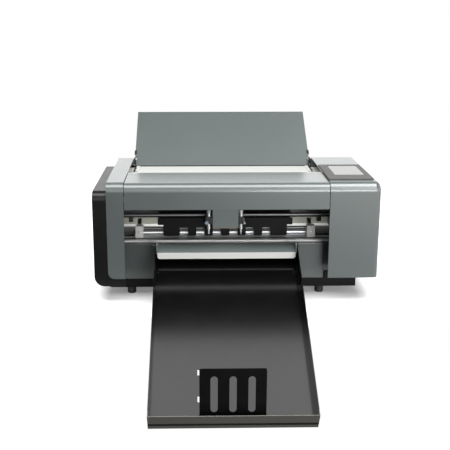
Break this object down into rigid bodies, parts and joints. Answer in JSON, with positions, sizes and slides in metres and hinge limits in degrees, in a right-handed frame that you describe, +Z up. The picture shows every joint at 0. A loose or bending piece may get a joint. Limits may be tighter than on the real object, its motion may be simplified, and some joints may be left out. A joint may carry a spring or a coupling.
{
  "type": "cutting plotter",
  "caption": "Desktop sheet-fed cutting plotter: a travelling carriage cuts sheets fed from a sloping rear support and drops them in a hanging front tray.",
  "frame": {"origin": "on the plane of the feet's undersides, midway across the throat, in line with the housings' front faces", "axes": "+X to the right seen from the front, +Y towards the back along the sheets' way in, +Z up"},
  "size_m": [0.6962, 0.9293, 0.5389],
  "materials": {
    "grey_paint": "satin powder coat",
    "black_moulding": "fine matt grain",
    "black_paint": "semi-gloss black paint",
    "rubber_black": "matt",
    "zinc_steel": "zinc plated",
    "bright_steel": "ground and polished",
    "screw_black": "blackened steel",
    "aluminium_edge": "bright anodised",
    "platen_grey": "satin dark grey",
    "black_plastic": "fine grain",
    "brass_bush": "turned",
    "motor_steel": "black oxide",
    "white_plastic": "satin",
    "pale_plastic": "satin",
    "screen_glass": "gloss",
    "board_green": "solder mask"
  },
  "bodies": {
    "root": {"left_housing": "black_moulding", "left_cap": "grey_paint", "right_housing": "grey_paint", "top_cover": "grey_paint", "base_pan": "black_paint", "feet": "rubber_black", "front_panel": "grey_paint", "rear_panel": "black_paint", "side_frame_left": "zinc_steel", "side_frame_right": "zinc_steel", "platen": "platen_grey", "platen_lip": "aluminium_edge", "rear_inner_wall": "grey_paint", "carriage_beam": "black_paint", "guide_rod": "bright_steel", "rod_end_blocks": "black_plastic", "comb_guide": "black_paint", "drive_bearings": "brass_bush", "feed_belt": "rubber_black", "stepper_motors": "motor_steel", "pinch_brackets": "zinc_steel", "carriage_belt": "rubber_black", "exit_chute": "grey_paint", "exit_trim": "white_plastic", "tray_pins": "screw_black", "feed_shelf": "grey_paint", "rear_brackets": "black_paint", "bracket_screws": "screw_black", "screen_bezel": "black_plastic", "touch_screen": "screen_glass", "circuit_board": "board_green", "power_supply": "zinc_steel", "rear_sockets": "black_plastic"},
    "drive_roller": {"drive_roller": "bright_steel", "drive_pulley": "aluminium_edge"},
    "feed_motor_pulley": {"feed_motor_pulley": "aluminium_edge"},
    "carriage_motor_pulley": {"carriage_motor_pulley": "aluminium_edge"},
    "idler_pulley": {"idler_pulley": "aluminium_edge"},
    "pinch_frame": {"pinch_arms": "black_paint", "pinch_tie_rod": "bright_steel", "pinch_blocks": "white_plastic"},
    "pinch_roller": {"pinch_roller": "bright_steel"},
    "carriage": {"carriage_body": "black_plastic", "carriage_bushes": "brass_bush", "carriage_cover": "grey_paint", "solenoids": "motor_steel"},
    "blade_slider": {"blade_slider": "black_plastic", "blade_holder": "bright_steel", "blade": "bright_steel"},
    "crease_slider": {"crease_slider": "black_plastic", "crease_tool": "bright_steel"},
    "clamp_knob": {"clamp_knob": "pale_plastic"},
    "clamp_lever": {"clamp_lever": "white_plastic"},
    "catch_tray": {"catch_tray": "black_paint"},
    "stop_plate": {"stop_plate": "black_paint"},
    "feed_roller": {"feed_shaft": "bright_steel", "feed_tyres": "rubber_black"},
    "rear_support": {"rear_support": "grey_paint", "support_clips": "black_plastic"},
    "power_switch": {"power_switch": "black_plastic"}
  },
  "joints": [
    {"name": "carriage_slide", "type": "slide", "parent": "root", "child": "carriage", "axis": [1, 0, 0], "range_m": [-0.15, 0.15]},
    {"name": "blade_drop", "type": "slide", "parent": "carriage", "child": "blade_slider", "axis": [0, 0, -1], "range_m": [0, 0.008], "stiffness_N_per_m": 80, "springref_m": -0.012},
    {"name": "crease_drop", "type": "slide", "parent": "carriage", "child": "crease_slider", "axis": [0, 0, -1], "range_m": [0, 0.008], "stiffness_N_per_m": 80, "springref_m": -0.012},
    {"name": "lever_turn", "type": "hinge", "parent": "blade_slider", "child": "clamp_lever", "pos_m": [0.0465, 0.108, 0.184], "axis": [-1, 0, 0], "range_deg": [0, 80]},
    {"name": "knob_turn", "type": "hinge", "parent": "crease_slider", "child": "clamp_knob", "pos_m": [-0.0475, 0.0906, 0.1775], "axis": [0, 1, 0], "range_deg": [0, 270]},
    {"name": "drive_spin", "type": "hinge", "parent": "root", "child": "drive_roller", "pos_m": [0, 0.132, 0.128], "axis": [1, 0, 0], "continuous": true},
    {"name": "feed_motor_spin", "type": "hinge", "parent": "root", "child": "feed_motor_pulley", "pos_m": [-0.298, 0.196, 0.084], "axis": [1, 0, 0], "continuous": true},
    {"name": "carriage_motor_spin", "type": "hinge", "parent": "root", "child": "carriage_motor_pulley", "pos_m": [0.262, 0.107, 0.236], "axis": [0, 1, 0], "continuous": true},
    {"name": "idler_spin", "type": "hinge", "parent": "root", "child": "idler_pulley", "pos_m": [-0.262, 0.107, 0.236], "axis": [0, 1, 0], "continuous": true},
    {"name": "pinch_lift", "type": "hinge", "parent": "root", "child": "pinch_frame", "pos_m": [0, 0.172, 0.16], "axis": [-1, 0, 0], "range_deg": [0, 8]},
    {"name": "pinch_spin", "type": "hinge", "parent": "pinch_frame", "child": "pinch_roller", "pos_m": [0, 0.132, 0.1412], "axis": [1, 0, 0], "continuous": true},
    {"name": "pickup_spin", "type": "hinge", "parent": "root", "child": "feed_roller", "pos_m": [0, 0.243, 0.222], "axis": [1, 0, 0], "continuous": true},
    {"name": "tray_swing", "type": "hinge", "parent": "root", "child": "catch_tray", "pos_m": [0, 0.02, 0.139], "axis": [-1, 0, 0], "range_deg": [0, 60]},
    {"name": "stop_lift", "type": "slide", "parent": "catch_tray", "child": "stop_plate", "axis": [0, 0, 1], "range_m": [0, 0.01]},
    {"name": "support_fold", "type": "hinge", "parent": "root", "child": "rear_support", "pos_m": [0, 0.36, 0.2735], "axis": [1, 0, 0], "range_deg": [0, 54]},
    {"name": "switch_rock", "type": "hinge", "parent": "root", "child": "power_switch", "pos_m": [0.28, 0.3405, 0.1], "axis": [1, 0, 0], "range_deg": [0, 12]}
  ],
  "couplings": [
    {"joint": "feed_motor_spin", "follows": "drive_spin", "ratio": 1.75},
    {"joint": "pinch_spin", "follows": "drive_spin", "ratio": -1.8182},
    {"joint": "carriage_motor_spin", "follows": "carriage_slide", "rad_per_m": -120},
    {"joint": "idler_spin", "follows": "carriage_slide", "rad_per_m": -120}
  ]
}
